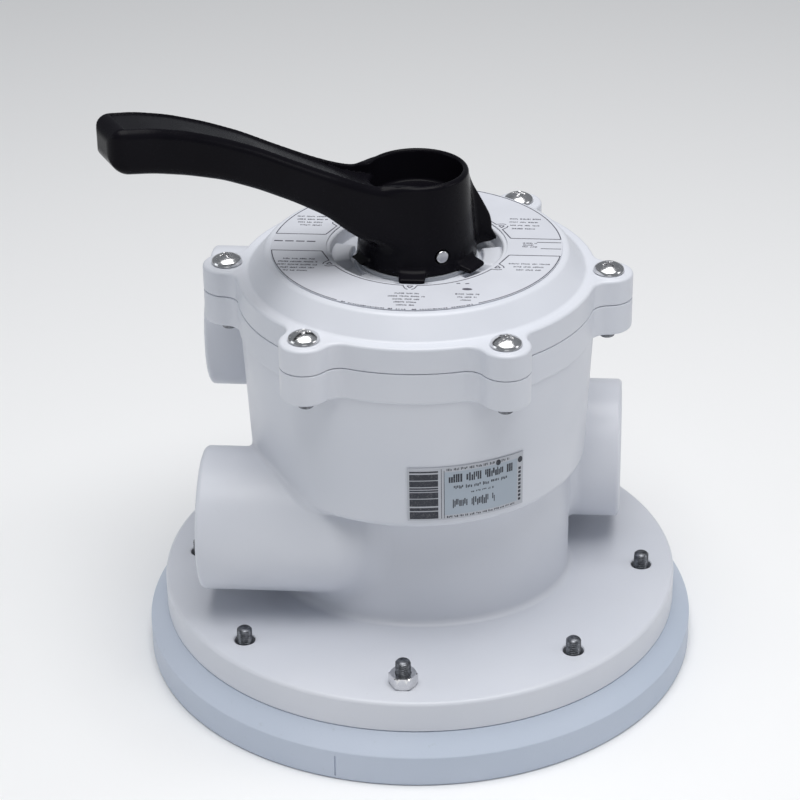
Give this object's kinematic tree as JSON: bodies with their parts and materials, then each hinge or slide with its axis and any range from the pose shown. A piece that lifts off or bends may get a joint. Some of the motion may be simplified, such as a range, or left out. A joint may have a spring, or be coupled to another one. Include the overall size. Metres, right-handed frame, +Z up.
{
  "type": "multiport valve",
  "caption": "Top-mount multiport valve for a pool sand filter: lobed lid, lever handle, side ports and bolted tank ring.",
  "frame": {"origin": "centre of the tank ring's underside, on the valve's vertical axis", "axes": "+Z up along the rotor's axis; +X towards the single port on its own side, -X towards the two ports on the other side; -Y is the front with the body label"},
  "size_m": [0.294, 0.294, 0.3279],
  "materials": {
    "white_plastic": "satin moulded ABS, cool white",
    "ring_plastic": "satin moulded plastic, pale blue grey",
    "black_plastic": "glass-filled nylon, semi-gloss black",
    "grey_plastic": "moulded acetal, matt",
    "rubber": "moulded EPDM, matt",
    "steel": "stainless, bright with fine machining marks",
    "label_film": "printed polyester film"
  },
  "bodies": {
    "valve": {"mounting_flange": "white_plastic", "port_body": "white_plastic", "riser_tube": "white_plastic", "return_port": "white_plastic", "waste_port": "white_plastic", "pump_port": "white_plastic", "valve_body": "white_plastic", "lid": "white_plastic", "gauge_plug": "white_plastic", "tank_ring": "ring_plastic", "tank_ring_seal": "rubber", "lid_seal": "rubber", "spider_gasket": "rubber", "gauge_seal": "rubber", "flange_stud_1": "steel", "flange_stud_2": "steel", "flange_stud_3": "steel", "flange_stud_4": "steel", "flange_stud_5": "steel", "flange_stud_6": "steel", "flange_stud_7": "steel", "flange_stud_8": "steel", "flange_nut": "steel", "lid_screw_1": "steel", "lid_nut_1": "steel", "lid_screw_2": "steel", "lid_nut_2": "steel", "lid_screw_3": "steel", "lid_nut_3": "steel", "lid_screw_4": "steel", "lid_nut_4": "steel", "lid_screw_5": "steel", "lid_nut_5": "steel", "lid_screw_6": "steel", "lid_nut_6": "steel", "spring_seat_upper": "steel", "dial_label": "label_film", "body_label": "label_film"},
    "slide_ring": {"slide_washer": "grey_plastic"},
    "rotor": {"rotor": "grey_plastic", "handle_pin": "steel", "shaft_o_ring_1": "rubber", "shaft_o_ring_2": "rubber", "spring_seat_lower": "steel", "spring": "steel"},
    "handle": {"handle": "black_plastic"}
  },
  "joints": [
    {"name": "rotor_turn", "type": "hinge", "parent": "valve", "child": "slide_ring", "pos_m": [0, 0, 0.2264], "axis": [0, 0, 1], "continuous": true},
    {"name": "rotor_lift", "type": "slide", "parent": "slide_ring", "child": "rotor", "axis": [0, 0, 1], "range_m": [0, 0.0111], "stiffness_N_per_m": 4000, "springref_m": -0.012, "deforming": ["spring"]},
    {"name": "handle_press", "type": "hinge", "parent": "rotor", "child": "handle", "pos_m": [0, 0, 0.2361], "axis": [0.5, -0.866, 0], "range_deg": [0, 20]}
  ],
  "couplings": [
    {"joint": "rotor_lift", "follows": "handle_press", "m_per_rad": 0.031}
  ]
}
